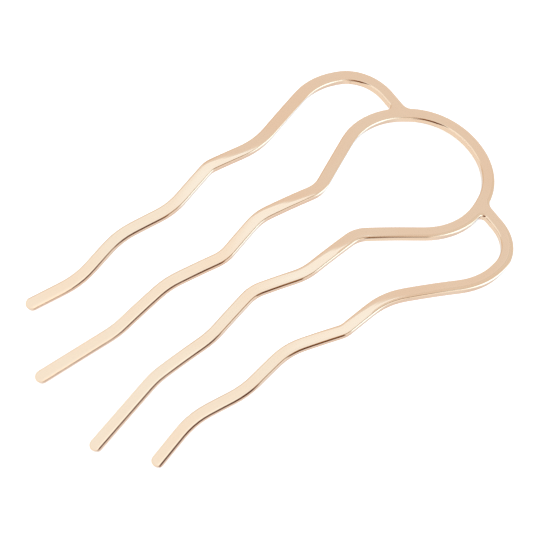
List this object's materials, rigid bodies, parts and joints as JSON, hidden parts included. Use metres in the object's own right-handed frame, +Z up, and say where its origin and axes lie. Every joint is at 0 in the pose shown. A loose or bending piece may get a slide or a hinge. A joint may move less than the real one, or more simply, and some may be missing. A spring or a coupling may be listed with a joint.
{
  "type": "wavy hair fork",
  "caption": "One-piece polished metal hair fork with wavy tines, a large loop at the middle of the head and a smaller loop on each side, arched along its length.",
  "frame": {"origin": "on the surface that the fork rests on, under the middle of its bounding box", "axes": "+Y along the fork towards the loops, +X across it, +Z up; it rests arch upwards, as on a table"},
  "size_m": [0.0592, 0.1072, 0.0149],
  "materials": {
    "fork_metal": "rose-gold plated, polished"
  },
  "bodies": {
    "root": {"hair_fork": "fork_metal"}
  },
  "joints": []
}
